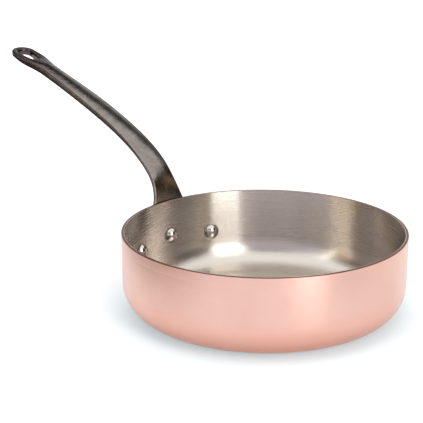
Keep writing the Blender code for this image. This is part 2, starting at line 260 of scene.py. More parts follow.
# %% Brushed steel
STEEL_LINE = 0.02 * MM
STEEL_STREAK = 0.4 * MM
STEEL_SWING = 2.5
STEEL_STEEPNESS = 0.4
FLOOR_LEVEL = 3 * MM
WALL_LEVEL = 26 * MM
FLOOR_SPREAD = 0.3
WALL_SPREAD = 1.0
FLOOR_ROUGH = {3: 0.23, 4: 0.26}
WALL_ROUGH = {3: 0.255, 4: 0.275}

steel, tree, shader = new_material("stainless_steel_brushed", Metallic=1.0,
                                   Anisotropic_Rotation=ACROSS_THE_LINES)
lines = turning_lines(tree, STEEL_LINE, STEEL_SWING)
streaks = turning_lines(tree, STEEL_STREAK, STEEL_SWING)
tone = add_node(tree, "ShaderNodeMapRange", {0: streaks, **NOISE_MIDDLE}).outputs[0]
tint = add_node(tree, "ShaderNodeMix", {0: tone, 6: linear("#D9D2C9"), 7: linear("#D4CDC4")},
                data_type="RGBA").outputs[2]
place = add_node(tree, "ShaderNodeTexCoord").outputs["Object"]
height = add_node(tree, "ShaderNodeSeparateXYZ", {0: place}).outputs["Z"]
wall = add_node(tree, "ShaderNodeMapRange", {0: height, 1: FLOOR_LEVEL, 2: WALL_LEVEL}).outputs[0]
floor_rough = add_node(tree, "ShaderNodeMapRange", {0: streaks, **NOISE_MIDDLE, **FLOOR_ROUGH}).outputs[0]
wall_rough = add_node(tree, "ShaderNodeMapRange", {0: streaks, **NOISE_MIDDLE, **WALL_ROUGH}).outputs[0]
rough = add_node(tree, "ShaderNodeMix", {0: wall, 2: floor_rough, 3: wall_rough}).outputs[0]
spread = add_node(tree, "ShaderNodeMapRange", {0: wall, 3: FLOOR_SPREAD, 4: WALL_SPREAD}).outputs[0]
round_pan = add_node(tree, "ShaderNodeTangent", direction_type="RADIAL", axis="Z").outputs[0]
tree.links.new(tint, shader.inputs["Base Color"])
tree.links.new(rough, shader.inputs["Roughness"])
tree.links.new(spread, shader.inputs["Anisotropic"])
tree.links.new(groove_flanks(tree, lines, STEEL_STEEPNESS), shader.inputs["Normal"])
tree.links.new(round_pan, shader.inputs["Tangent"])
print("brushed grooves up to the rim:", round(PAN_HEIGHT / STEEL_LINE))

# %% [markdown]
# ## Cast iron, sand-cast and oiled
#
# The handle was cast in sand and then blacked and oiled, so it is nearly black, with a soft sheen where
# it faces the light. The sand leaves a fine grain of about a millimetre and shallow swells of several
# millimetres. Towards the eye end the iron is painted darker, as painted shade, where its top face
# mirrors little light.

# %% Cast iron
SAND_GRAIN = 0.9 * MM
GRAIN_DEPTH = 0.08 * MM
SWELL = 7 * MM
SWELL_DEPTH = 0.25 * MM
SHADE_DARKEST_AT = -320 * MM
SHADE_CLEAR_AT = -235 * MM
IRON_ROUGH = {3: 0.17, 4: 0.23}

iron, tree, shader = new_material("cast_iron_oiled", Metallic=1.0)
place = add_node(tree, "ShaderNodeTexCoord").outputs["Object"]
grain = add_node(tree, "ShaderNodeTexNoise", {"Vector": place, "Scale": 1 / SAND_GRAIN, "Detail": 3.0})
swells = add_node(tree, "ShaderNodeTexNoise", {"Vector": place, "Scale": 1 / SWELL, "Detail": 3.0})
tone = add_node(tree, "ShaderNodeMapRange", {0: swells.outputs["Fac"], **NOISE_MIDDLE}).outputs[0]
tint = add_node(tree, "ShaderNodeMix", {0: tone, 6: linear("#948D88"), 7: linear("#847E79")},
                data_type="RGBA").outputs[2]
along = add_node(tree, "ShaderNodeSeparateXYZ", {0: place}).outputs["X"]
# Painted shade: the iron is darkened towards the eye end, where its top face mirrors little light.
painted_shade = add_node(tree, "ShaderNodeMapRange", {0: along, 1: SHADE_DARKEST_AT, 2: SHADE_CLEAR_AT, **FALLING}).outputs[0]
tint = add_node(tree, "ShaderNodeMix", {0: painted_shade, 6: tint, 7: linear("#544A4A")}, data_type="RGBA")
rough = add_node(tree, "ShaderNodeMapRange", {0: swells.outputs["Fac"], **NOISE_MIDDLE, **IRON_ROUGH})
low = add_node(tree, "ShaderNodeBump", {"Height": swells.outputs["Fac"], "Distance": SWELL_DEPTH})
bump = add_node(tree, "ShaderNodeBump",
                {"Height": grain.outputs["Fac"], "Distance": GRAIN_DEPTH, "Normal": low.outputs[0]})
tree.links.new(tint.outputs[2], shader.inputs["Base Color"])
tree.links.new(rough.outputs[0], shader.inputs["Roughness"])
tree.links.new(bump.outputs[0], shader.inputs["Normal"])
print("sand grains to a centimetre:", round(10 * MM / SAND_GRAIN))

# %% [markdown]
# ## Stainless steel, polished
#
# The rivets are turned and polished, and only fine scratches from wiping are left on them.

# %% Polished steel
SCRATCH = 0.8 * MM
WIPED_ROUGH = {3: 0.10, 4: 0.17}

bright, tree, shader = new_material("stainless_steel_polished", Metallic=1.0, Base_Color=linear("#D2CCC4"))
place = add_node(tree, "ShaderNodeTexCoord").outputs["Object"]
wiped = add_node(tree, "ShaderNodeTexNoise", {"Vector": place, "Scale": 1 / SCRATCH, "Detail": 5.0})
rough = add_node(tree, "ShaderNodeMapRange", {0: wiped.outputs["Fac"], **NOISE_MIDDLE, **WIPED_ROUGH})
tree.links.new(rough.outputs[0], shader.inputs["Roughness"])
print("materials so far:", [material.name for material in (copper, steel, iron, bright)])

# %% [markdown]
# ## From profile to pan
#
# A spun pan is a profile turned about its axis. The profile starts as a few points; each rounded corner
# is one of them, bevelled. Spin then turns it, and the seam and the two poles are merged.

# %% Helpers for turned pieces
PAN_SEGMENTS = 288
SHARP_ANGLE = math.radians(32)
MERGE = 1e-7


def profile(points, roundings):
    """A bmesh with one open line through (radius, height) points, some corners bevelled round."""
    bm = bmesh.new()
    verts = [bm.verts.new((radius, 0, height)) for radius, height in points]
    for pair in zip(verts, verts[1:]):
        bm.edges.new(pair)
    for index, (size, steps) in roundings.items():
        bmesh.ops.bevel(bm, geom=[verts[index]], offset=size, offset_type="OFFSET", segments=steps,
                        profile=0.5, affect="VERTICES", material=-1)
    return bm


def turn(bm, segments):
    """Turns the line about Z and closes the seam and the poles."""
    bmesh.ops.spin(bm, geom=bm.verts[:] + bm.edges[:], cent=(0, 0, 0), axis=(0, 0, 1), angle=math.tau,
                   steps=segments, use_merge=True)
    bmesh.ops.remove_doubles(bm, verts=bm.verts, dist=MERGE)
    return bm


def add_object(name, bm, material):
    """Makes the bmesh an object at the origin."""
    mesh = bpy.data.meshes.new(name)
    bm.to_mesh(mesh)
    bm.free()
    mesh.materials.append(material)
    made = bpy.data.objects.new(name, mesh)
    bpy.context.scene.collection.objects.link(made)
    return made


def add_piece(name, bm, material, slot, *nodes):
    """Makes the bmesh a piece that stands for the CAD nodes and rides on the pan."""
    bmesh.ops.recalc_face_normals(bm, faces=bm.faces)
    piece = add_object(name, bm, material)
    piece.data.shade_smooth()
    piece.data.set_sharp_from_angle(angle=SHARP_ANGLE)
    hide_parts(*nodes)
    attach(piece, "root")
    print(name, "has", len(piece.data.polygons), "faces")


print("one step round the pan is", round(math.tau * PAN_RADIUS / PAN_SEGMENTS / MM, 2), "mm")

# %% [markdown]
# ## The copper body and its lining
#
# Both layers share the wall's line, which leans out by 0.4 mm from corner to rim. The copper stops at the
# lining with a hairline between them, and both are cut straight at the rim.

# %% Copper body and steel lining
CORNER_RADIUS = 28 * MM
WALL_DRAFT = 0.4 * MM
COPPER_INSET = 1.98 * MM
LINING_INSET = 2.02 * MM
INSIDE_INSET = 2.5 * MM
RIM_ROUNDING = 0.25 * MM
LINING_ROUNDING = 0.12 * MM
CORNER_STEPS = 24
RIM_STEPS = 4
FOOT_RADIUS = PAN_RADIUS - WALL_DRAFT * PAN_HEIGHT / (PAN_HEIGHT - CORNER_RADIUS)


def layer(outside, inside, rim_rounding):
    """The profile of one layer between two insets from the pan's outer face."""
    points = [(0, outside), (FOOT_RADIUS - outside, outside), (PAN_RADIUS - outside, PAN_HEIGHT),
              (PAN_RADIUS - inside, PAN_HEIGHT), (FOOT_RADIUS - inside, inside), (0, inside)]
    roundings = {1: (CORNER_RADIUS - outside, CORNER_STEPS), 4: (CORNER_RADIUS - inside, CORNER_STEPS),
                 2: (rim_rounding, RIM_STEPS), 3: (rim_rounding, RIM_STEPS)}
    return profile(points, roundings)


add_piece("copper_body", turn(layer(0, COPPER_INSET, RIM_ROUNDING), PAN_SEGMENTS), copper,
          "polished_copper", "copper_shell")
add_piece("brushed_lining", turn(layer(LINING_INSET, INSIDE_INSET, LINING_ROUNDING), PAN_SEGMENTS), steel,
          "brushed_steel", "steel_lining")

# %% [markdown]
# ## The rivets
#
# Each rivet is one solid: a dome inside the pan, a shank through lining, copper and flange, and a low
# head outside that was set with a hammer. It is modelled along Z, at its distance from the pan's axis,
# and then laid over to its place on the wall. Each head keeps the CAD's clearance of 0.3 mm to its seat.

# %% Rivets
FIT = 0.3 * MM
PLATE_THICKNESS = 3.4 * MM
SHANK_RADIUS = 3 * MM
DOME_RADIUS = 7 * MM
DOME_HEIGHT = 4.7 * MM
SET_HEAD_RADIUS = 5.6 * MM
SET_HEAD_HEIGHT = 2.4 * MM
RIVET_SPREAD = 42.9 * MM
SIDE_RIVET_HEIGHT = 34.5 * MM
MIDDLE_RIVET_HEIGHT = 38.5 * MM
RIVET_SEGMENTS = 64
CAP_STEPS = 14


def wall_radius(height, inset=0.0):
    """The wall's radius at a height, this far inside its outer face."""
    low = PAN_RADIUS - WALL_DRAFT
    if height >= CORNER_RADIUS:
        return low + WALL_DRAFT * (height - CORNER_RADIUS) / (PAN_HEIGHT - CORNER_RADIUS) - inset
    drop = CORNER_RADIUS - height
    return low - CORNER_RADIUS + math.sqrt((CORNER_RADIUS - inset) ** 2 - drop ** 2)


def cap(bm, radius, height, base, way):
    """Spins a head's crown about the ball's middle, down to the head's rim, and returns that point."""
    ball = (radius ** 2 + height ** 2) / (2 * height)
    reach = math.asin(min(radius / ball, 1))
    middle = (0, 0, base + way * (height - ball))
    crown = bm.verts.new((0, 0, base + way * height))
    made = bmesh.ops.spin(bm, geom=[crown], cent=middle, axis=(0, 1, 0), angle=way * reach, steps=CAP_STEPS)
    return next(item for item in made["geom_last"] if isinstance(item, bmesh.types.BMVert))


def rivet(height, angle):
    """A rivet at a height on the wall, turned this far round the pan from the handle."""
    chord = wall_radius(height - DOME_RADIUS, INSIDE_INSET) ** 2 - DOME_RADIUS ** 2
    inner_seat = math.sqrt(chord) - FIT
    outer_seat = wall_radius(height) + 2 * FIT + PLATE_THICKNESS
    bm = bmesh.new()
    dome_rim = cap(bm, DOME_RADIUS, DOME_HEIGHT, inner_seat, -1)
    head_rim = cap(bm, SET_HEAD_RADIUS, SET_HEAD_HEIGHT, outer_seat, 1)
    low = bm.verts.new((SHANK_RADIUS, 0, inner_seat))
    high = bm.verts.new((SHANK_RADIUS, 0, outer_seat))
    for pair in ((dome_rim, low), (low, high), (high, head_rim)):
        bm.edges.new(pair)
    turn(bm, RIVET_SEGMENTS)
    lift = Matrix.Translation((0, 0, height))
    bm.transform(lift @ Matrix.Rotation(math.pi + angle, 4, "Z") @ Matrix.Rotation(math.pi / 2, 4, "Y"))
    return bm


spread = math.asin(RIVET_SPREAD / (wall_radius(SIDE_RIVET_HEIGHT) + FIT))
for name, height, angle in (("rivet_left", SIDE_RIVET_HEIGHT, -spread),
                            ("rivet_middle", MIDDLE_RIVET_HEIGHT, 0.0),
                            ("rivet_right", SIDE_RIVET_HEIGHT, spread)):
    add_piece(name + "_polished", rivet(height, angle), bright, "polished_steel", name)

# %% [markdown]
# ## The handle's line
#
# One Bezier curve gives the handle's inner face seen from the side: up along the wall, out over the rim
# and on to the tip, which droops a little. The handle is first modelled flat, as if rolled out along this
# line, and then bent.

# %% The line of the handle
EAR_RADIUS = 10.5 * MM
LEAVE_HEIGHT = PAN_HEIGHT - 6.2 * MM
STEM_REACH = 221.2 * MM
STEM_RISE = 116.6 * MM
STEM_LIFT = 51.8 * MM
STEM_DRAW = 142 * MM
END_SLOPE = math.radians(16.2)
TIP_DROOP = 2.7 * MM
DROOP_LENGTH = 50 * MM
CURVE_POINTS = 1200

start = Vector((wall_radius(LEAVE_HEIGHT) + FIT, LEAVE_HEIGHT, 0))
end = start + Vector((STEM_REACH, STEM_RISE, 0))
pull = Vector((math.cos(END_SLOPE), math.sin(END_SLOPE), 0)) * STEM_DRAW
curve = interpolate_bezier(start, start + Vector((0, STEM_LIFT, 0)), end - pull, end, CURVE_POINTS)
curve = [point.xy for point in curve]
ways = [(b - a).normalized() for a, b in zip(curve[:1] + curve, curve[1:] + curve[-1:])]
FLANGE_BOTTOM = SIDE_RIVET_HEIGHT - EAR_RADIUS
LEAVES = LEAVE_HEIGHT - FLANGE_BOTTOM
marks = [LEAVES]
for a, b in zip(curve, curve[1:]):
    marks.append(marks[-1] + (b - a).length)
LENGTH = marks[-1]


def line_place(distance):
    """The point at a distance from the flange's lower edge, and the way that the inner face looks there."""
    if distance <= LEAVES:
        height = FLANGE_BOTTOM + distance
        return Vector((wall_radius(height) + FIT, height)), Vector((-1, 0))
    index = min(bisect.bisect_right(marks, distance), CURVE_POINTS - 1)
    share = (distance - marks[index - 1]) / (marks[index] - marks[index - 1])
    drooping = max(distance - LENGTH + DROOP_LENGTH, 0) / DROOP_LENGTH
    point = curve[index - 1].lerp(curve[index], share) - Vector((0, TIP_DROOP * drooping ** 2))
    way = ways[index - 1].lerp(ways[index], share) - Vector((0, 2 * TIP_DROOP * drooping / DROOP_LENGTH))
    way.normalize()
    return point, Vector((-way.y, way.x))


print("length of the handle along its line:", round(LENGTH / MM, 1), "mm")

# %% [markdown]
# ## The handle's sections
#
# Width, thickness, crown and belly each pass smoothly from one measured place to the next. The crown is
# the low curve across the top face, and the belly is the rib below.

# %% Sizes of the sections
FILLET_LENGTH = 54 * MM
EDGE_ROUNDING = 1.3 * MM
ROOT_WIDTH = 24.4 * MM
GRIP_WIDTH = 21.6 * MM
NECK_WIDTH = 17.4 * MM
NECK_TO_EYE = 29 * MM
EYE_LENGTH = 26.8 * MM
EYE_END_WIDTH = 23.6 * MM
STEM_SIDE = 5.9 * MM
NECK_THICKNESS = 6.7 * MM
EYE_END_THICKNESS = 6.8 * MM
TIP_THICKNESS = 4.3 * MM
TOP_CROWN = 1.2 * MM
ROOT_BELLY = 4 * MM
GRIP_BELLY = 1.6 * MM
widths = (ROOT_WIDTH, GRIP_WIDTH, NECK_WIDTH, EYE_END_WIDTH)
print("widths at root, grip, neck and eye:", [round(width / MM, 1) for width in widths], "mm")

# %% [markdown]
# Each size holds at a station, which is a distance along the line from the flange's lower edge.

# %% Width, thickness, crown and belly along the line
EAR_TOP = 2 * EAR_RADIUS
FILLET_END = EAR_TOP + FILLET_LENGTH
RIM_MARK = PAN_HEIGHT - FLANGE_BOTTOM
ROOT_MARK = MIDDLE_RIVET_HEIGHT + SET_HEAD_RADIUS + EDGE_ROUNDING - FLANGE_BOTTOM
TIP_CENTER = LENGTH - EYE_END_WIDTH / 2
EYE_START = TIP_CENTER - EYE_LENGTH / 2
NECK = EYE_START - NECK_TO_EYE
GRIP = (FILLET_END + NECK) / 2

WIDTHS = ((FILLET_END, ROOT_WIDTH / 2), (GRIP, GRIP_WIDTH / 2), (NECK, NECK_WIDTH / 2),
          (EYE_START, EYE_END_WIDTH / 2))
SIDES = ((RIM_MARK, PLATE_THICKNESS), (GRIP, STEM_SIDE), (NECK, NECK_THICKNESS),
         (EYE_START, EYE_END_THICKNESS), (LENGTH, TIP_THICKNESS))
CROWNS = ((RIM_MARK, 0), (FILLET_END, TOP_CROWN), (NECK, TOP_CROWN), (EYE_START, 0))
BELLIES = ((ROOT_MARK, 0), (RIM_MARK, ROOT_BELLY), (GRIP, GRIP_BELLY), (NECK, GRIP_BELLY), (EYE_START, 0))
RIBS = ((ROOT_MARK, ROOT_WIDTH / 2 + EDGE_ROUNDING), (FILLET_END, ROOT_WIDTH / 2))


def ease(share):
    """A share from 0 to 1 that starts and ends gently."""
    share = min(max(share, 0), 1)
    return share * share * (3 - 2 * share)


def eased(stations, distance):
    """A value that passes smoothly through (distance, value) stations."""
    if distance <= stations[0][0]:
        return stations[0][1]
    for (a, low), (b, high) in zip(stations, stations[1:]):
        if distance <= b:
            return low + (high - low) * ease((distance - a) / (b - a))
    return stations[-1][1]


print("the grip's middle lies", round(GRIP / MM, 1), "mm along, the neck", round(NECK / MM, 1), "mm")

# %% [markdown]
# ## The handle rolled out flat
#
# The outline runs round an ear, up the concave fillet, along the stem and round the tip. Both halves are
# alike, so only one is worked out.

# %% Half the outline, and the way out of it at each point
EAR_POINTS = 20
FILLET_POINTS = 36
STEM_POINTS = 120
TIP_POINTS = 24


def half_outline():
    """(distance, half width, way out along, way out across) from an ear's lower end to the tip."""
    points = []
    for i in range(EAR_POINTS):
        angle = math.pi * i / EAR_POINTS
        points.append((EAR_RADIUS * (1 - math.cos(angle)), RIVET_SPREAD + EAR_RADIUS * math.sin(angle)))
    narrowing = RIVET_SPREAD - ROOT_WIDTH / 2
    for i in range(FILLET_POINTS):
        angle = math.pi / 2 * i / FILLET_POINTS
        half = RIVET_SPREAD - narrowing * math.sin(angle)
        points.append((FILLET_END - FILLET_LENGTH * math.cos(angle), half))
    for i in range(STEM_POINTS):
        distance = FILLET_END + (TIP_CENTER - FILLET_END) * i / STEM_POINTS
        points.append((distance, eased(WIDTHS, distance)))
    tip_radius = EYE_END_WIDTH / 2
    for i in range(TIP_POINTS + 1):
        angle = math.pi / 2 * i / TIP_POINTS
        points.append((TIP_CENTER + tip_radius * math.sin(angle), tip_radius * math.cos(angle)))
    points = [Vector(point) for point in points]
    steps = [(b - a).normalized() for a, b in zip(points, points[1:])]
    runs = [Vector((0, 1)), *[a + b for a, b in zip(steps, steps[1:])], Vector((0, -1))]
    return [(point.x, point.y, *Vector((-run.y, run.x)).normalized()) for point, run in zip(points, runs)]


outline = half_outline()
print("points on half the outline:", len(outline))

# %% [markdown]
# The top sheet is a grid drawn in to that outline, less the edge's rounding, and raised by the crown. The
# lower one is drawn in the same way and carries the belly. The columns crowd a little toward the middle.

# %% The two sheets
COLUMNS = 48
CROWDING = 1.3
BELLY_SOFTNESS = 1.5


def sheet(bm, plan, way, height):
    """A grid drawn in to the outline. The height is a function of distance, across and half width."""
    made = bmesh.ops.create_grid(bm, x_segments=len(outline) - 1, y_segments=COLUMNS, size=1)["verts"]
    for vert in made:
        row = round((vert.co.x + 1) / 2 * (len(outline) - 1))
        share = math.copysign(abs(vert.co.y) ** CROWDING, vert.co.y)
        distance, half, out_along, out_across = outline[row]
        inner_half = max(half - EDGE_ROUNDING * out_across, 0)
        distance -= EDGE_ROUNDING * out_along
        vert[plan] = (distance, share * inner_half, half)
        vert[way] = (out_along, math.copysign(out_across, share) if row else 0, 0)
        vert.co = (distance, share * inner_half, height(distance, share * inner_half, inner_half))


def top_height(distance, across, half):
    """The crown of the top face."""
    return eased(CROWNS, distance) * (1 - (across / max(half, MERGE)) ** 2)


def under_height(distance, across, half):
    """The lower face, with its belly."""
    rib = max(min(eased(RIBS, distance), half), MERGE)
    swell = max(1 - (across / rib) ** 2, 0) ** BELLY_SOFTNESS
    return -eased(SIDES, distance) - eased(BELLIES, distance) * swell


print("quads in one sheet:", (len(outline) - 1) * COLUMNS)

# %% [markdown]
# The top sheet's border is extruded in steps round the upper edge, down the side and round the lower
# edge, and the second sheet closes it below.

# %% The border between the sheets
EDGE_STEPS = 5


def extruded(bm, edges):
    """Extrudes the edges once and returns the new border."""
    made = bmesh.ops.extrude_edge_only(bm, edges=edges)["geom"]
    return [item for item in made if isinstance(item, bmesh.types.BMEdge) and item.is_boundary]


def flat_handle():
    """The whole handle, flat and without its eye: along X, across Y and out of the inner face along Z."""
    bm = bmesh.new()
    plan, way = (bm.verts.layers.float_vector.new(name) for name in ("plan", "way"))
    sheet(bm, plan, way, top_height)
    bmesh.ops.remove_doubles(bm, verts=bm.verts, dist=MERGE)
    turns = [math.pi / 2 * i / EDGE_STEPS for i in range(EDGE_STEPS + 1)]
    upper = [(math.sin(a), math.cos(a) - 1, 0) for a in turns[1:]]
    lower = [(math.cos(a), 1 - math.sin(a), 1) for a in turns]
    edges = [edge for edge in bm.edges if edge.is_boundary]
    for out, up, below in upper + lower:
        edges = extruded(bm, edges)
        for vert in {vert for edge in edges for vert in edge.verts}:
            away = EDGE_ROUNDING * out
            distance = vert[plan].x + vert[way].x * away
            side = eased(SIDES, distance) * below
            vert.co = (distance, vert[plan].y + vert[way].y * away, EDGE_ROUNDING * up - side)
    sheet(bm, plan, way, under_height)
    bmesh.ops.remove_doubles(bm, verts=bm.verts, dist=MERGE)
    bmesh.ops.recalc_face_normals(bm, faces=bm.faces)
    return bm


print("one step round the edge is", round(math.pi / 2 * EDGE_ROUNDING / EDGE_STEPS / MM, 2), "mm")

# %% [markdown]
# ## The hanging eye
#
# The eye is egg-shaped, wide near the tip. Its cutter starts as a circle. Each point keeps its direction
# and moves out to the large or the small round of the egg, and the rings below it follow the rounding of
# the upper edge, the wall and the small rounding of the lower edge. A casting needs draft to leave the
# sand: the hole is 0.9 mm closer all round at its lower edge, which also sits 2.4 mm nearer to the pan.

# %% The cutter for the eye
EYE_LARGE_RADIUS = 7 * MM
EYE_SMALL_RADIUS = 4.6 * MM
EYE_TIP_LAND = 6.5 * MM
EYE_ROUNDING = 2.3 * MM
EYE_LOWER_ROUNDING = 0.5 * MM
EYE_DRAFT = 0.9 * MM
EYE_LEAN = 2.4 * MM
EYE_POINTS = 120
EYE_SIDE_CUTS = 12
EYE_STEPS = 8
CLEAR = 2 * MM


def egg(bm):
    """The eye's outline, and for each of its points the place on it and the way out of it."""
    span = EYE_LENGTH - EYE_LARGE_RADIUS - EYE_SMALL_RADIUS
    tangent = math.pi / 2 + math.asin((EYE_LARGE_RADIUS - EYE_SMALL_RADIUS) / span)
    middle = LENGTH - EYE_TIP_LAND - EYE_LARGE_RADIUS
    base, way = (bm.verts.layers.float_vector.new(name) for name in ("base", "way"))
    for vert in bmesh.ops.create_circle(bm, segments=EYE_POINTS, radius=1)["verts"]:
        vert[way] = vert.co.copy()
        on_large = abs(math.atan2(vert.co.y, vert.co.x)) <= tangent
        radius = EYE_LARGE_RADIUS if on_large else EYE_SMALL_RADIUS
        vert.co = vert.co * radius + Vector((middle if on_large else middle - span, 0, 0))
    long_edges = [edge for edge in bm.edges if edge.calc_length() > span / 2]
    bmesh.ops.subdivide_edges(bm, edges=long_edges, cuts=EYE_SIDE_CUTS)
    for vert in bm.verts:
        vert[base] = vert.co.copy()
    return base, way


def eye_rings():
    """(growth, height, 1 if below) of each ring from above the handle to below it."""
    turns = [math.pi / 2 * i / EYE_STEPS for i in range(EYE_STEPS + 1)]
    upper = [(EYE_ROUNDING * (1 - math.sin(a)), EYE_ROUNDING * (math.cos(a) - 1), 0) for a in turns]
    lower = [(EYE_LOWER_ROUNDING * (1 - math.cos(a)) - EYE_DRAFT, EYE_LOWER_ROUNDING * (1 - math.sin(a)), 1)
             for a in turns[::2]]
    return [(EYE_ROUNDING, CLEAR, 0), *upper, *lower, (EYE_LOWER_ROUNDING - EYE_DRAFT, -CLEAR, 1)]


def eye_cutter():
    """The closed solid that the eye is cut with."""
    bm = bmesh.new()
    base, way = egg(bm)
    edges = bm.edges[:]
    for ring, (grow, up, below) in enumerate(eye_rings()):
        if ring:
            edges = extruded(bm, edges)
        for vert in {vert for edge in edges for vert in edge.verts}:
            side = eased(SIDES, vert[base].x) * below
            vert.co = vert[base] + vert[way] * grow + Vector((-EYE_LEAN * below, 0, up - side))
    bmesh.ops.holes_fill(bm, edges=[edge for edge in bm.edges if edge.is_boundary])
    bmesh.ops.recalc_face_normals(bm, faces=bm.faces)
    return bm


print("the eye is", round(EYE_LENGTH / MM, 1), "mm long and", round(2 * EYE_LARGE_RADIUS / MM), "mm wide")

# %% [markdown]
# ## Cutting and bending the handle
#
# The eye is cut while the handle is flat. Then every point goes to its place on the line. Up to the rim
# the sheet also wraps round the wall, and the flange's lower edge arches a little in the middle.

# %% Cut the eye, bend the handle and add it
FLANGE_ARCH = 2 * MM
WRAPS = ((LEAVES, 1), (FILLET_END, 0))


def cut_with(bm, cutter_bm):
    """The first solid less the second, with the exact solver."""
    solid = add_object("solid", bm, iron)
    cutter = add_object("cutter", cutter_bm, iron)
    modifier = solid.modifiers.new("cut", "BOOLEAN")
    modifier.operation = "DIFFERENCE"
    modifier.solver = "EXACT"
    modifier.object = cutter
    result = bpy.data.meshes.new_from_object(solid.evaluated_get(bpy.context.evaluated_depsgraph_get()))
    made = bmesh.new()
    made.from_mesh(result)
    # A mesh that is removed takes its object with it.
    for mesh in (solid.data, cutter.data, result):
        bpy.data.meshes.remove(mesh)
    return made


def bend(distance, across, out, half):
    """Where a point of the flat handle lies on the pan. The half is the outline's half width there."""
    wrap = eased(WRAPS, distance)
    arch = FLANGE_ARCH * (1 - ease(distance / EAR_TOP)) * (1 - min(abs(across) / half, 1) ** 2)
    middle, facing = line_place(distance)
    sink = wrap * (middle.x - math.sqrt(max(middle.x ** 2 - across ** 2, 0)))
    turned = wrap * math.asin(max(min(across / middle.x, 1), -1))
    reach = facing.x * out
    return Vector((sink - middle.x - reach * math.cos(turned), -across - reach * math.sin(turned),
                   middle.y + arch + facing.y * out))


bm = cut_with(flat_handle(), eye_cutter())
plan = bm.verts.layers.float_vector["plan"]
for vert in bm.verts:
    vert.co = bend(*vert.co, max(vert[plan].z, MM))
add_piece("handle_casting", bm, iron, "cast_iron", "handle")

# %% [markdown]
# ## The floor
#
# The photograph stands on a white sweep. The floor here is a pale diffuse plane that takes the shadow. A
# share of light of its own, for the camera and for reflections only, lifts it to white, and further out
# that share grows, as a lit sweep does behind a product. Near the pan this glow is painted light: a cool
# glow lightens the shadow and cancels the warm light that the copper throws on the paper, and under the
# pan's foot a warm painted glow, which the copper's foot mirrors, stands in for the light that paper and
# copper throw at each other. The marks of this glow are in metres from the pan's axis.

# %% Floor
FLOOR_SIZE = 12.0
FLOOR_SQUARES = 8
FLOOR_GREY = 0.8
# Painted light near the pan: a cool glow that lightens the shadow, and a warm glow under the foot that the
# copper mirrors.
GLOW = ((0.000, "#9C5A30"), (0.092, "#9C5A30"), (0.098, "#78A1A7"), (0.106, "#7BA0A7"),
        (0.113, "#789BA2"), (0.123, "#8CA8AD"), (0.135, "#A3B2B6"), (0.160, "#B8BBBC"),
        (0.500, "#C0C0C0"), (1.000, "#FFFFFF"))


def set_stops(ramp, marks, low=0.0, high=1.0):
    """Gives a colour ramp its marks of (value, colour). Its ends stand for the low and the high value."""
    stops = ramp.color_ramp.elements
    while len(stops) < len(marks):
        stops.new(0.5)
    for stop, (value, color) in zip(stops, marks):
        stop.position = (value - low) / (high - low)
        stop.color = linear(color)


paper, tree, shader = new_material("white_paper_sweep", Base_Color=(FLOOR_GREY, FLOOR_GREY, FLOOR_GREY, 1),
                                   Roughness=1.0, Specular_IOR_Level=0.0)
rays = add_node(tree, "ShaderNodeLightPath").outputs
seen = add_node(tree, "ShaderNodeMath", {0: rays["Is Camera Ray"], 1: rays["Is Glossy Ray"]},
                operation="ADD").outputs[0]
seen = add_node(tree, "ShaderNodeMath", {0: seen, 1: rays["Is Transmission Ray"]},
                operation="ADD", use_clamp=True).outputs[0]
place = add_node(tree, "ShaderNodeTexCoord").outputs["Object"]
away = add_node(tree, "ShaderNodeVectorMath", {0: place}, operation="LENGTH").outputs["Value"]
glow = add_node(tree, "ShaderNodeValToRGB", {0: away})
set_stops(glow, GLOW)
tree.links.new(glow.outputs[0], shader.inputs["Emission Color"])
tree.links.new(seen, shader.inputs["Emission Strength"])

bm = bmesh.new()
bmesh.ops.create_grid(bm, x_segments=FLOOR_SQUARES, y_segments=FLOOR_SQUARES, size=FLOOR_SIZE / 2)
floor = add_object("floor", bm, paper)
floor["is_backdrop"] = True
print("the floor is", FLOOR_SIZE, "m wide, with", len(GLOW), "stops in its glow")

# %% [markdown]
# ## The lamps
#
# The reflections in the pan tell where the lamps stood. A tall softbox to the right makes the bright band
# on the copper and the white bar inside. A wide one overhead lights the handle's top, the pan's floor and
# the paper, and a narrow strip on the left makes the thin streaks there.

# %% Lamps
CAMERA_WAY = math.degrees(math.atan2(CAMERA_PLACE[1], CAMERA_PLACE[0]))
AIM = Vector((0, 0, 50 * MM))
LAMP_DISTANCE = 3.0


def softbox(name, to_right, elevation, width, height, radiance):
    """A lamp aimed at the pan, this many degrees to the right of the camera and above the table."""
    lamp = bpy.data.lights.new(name, "AREA")
    lamp.shape = "RECTANGLE"
    lamp.size = width
    lamp.size_y = height
    lamp.energy = radiance * math.pi * width * height
    angle = math.radians(CAMERA_WAY + to_right)
    up = math.radians(elevation)
    way = Vector((math.cos(angle) * math.cos(up), math.sin(angle) * math.cos(up), math.sin(up)))
    lamp_object = bpy.data.objects.new(name, lamp)
    lamp_object.location = AIM + way * LAMP_DISTANCE
    lamp_object.rotation_euler = way.to_track_quat("Z", "Y").to_euler()
    lamp_object.visible_camera = False
    bpy.context.scene.collection.objects.link(lamp_object)
    print(name, "gives", round(lamp.energy, 1), "W")


softbox("key_softbox", to_right=35, elevation=24, width=1.3, height=2.6, radiance=3.1)
softbox("top_softbox", to_right=0, elevation=89, width=6.3, height=5.1, radiance=1.2)
softbox("left_strip", to_right=-64, elevation=30, width=0.4, height=1.9, radiance=1.8)

# %% [markdown]
# ## A dark card
#
# A bright object on white paper loses its edges, so a dark card lies on the table to the left. The side
# of the handle mirrors it. Only reflections see it, so it casts no shadow and darkens nothing else.

# %% The dark card
CARD_SIZE = 1.2
CARD_FROM_AXIS = 0.36
CARD_LIFT = 2 * MM

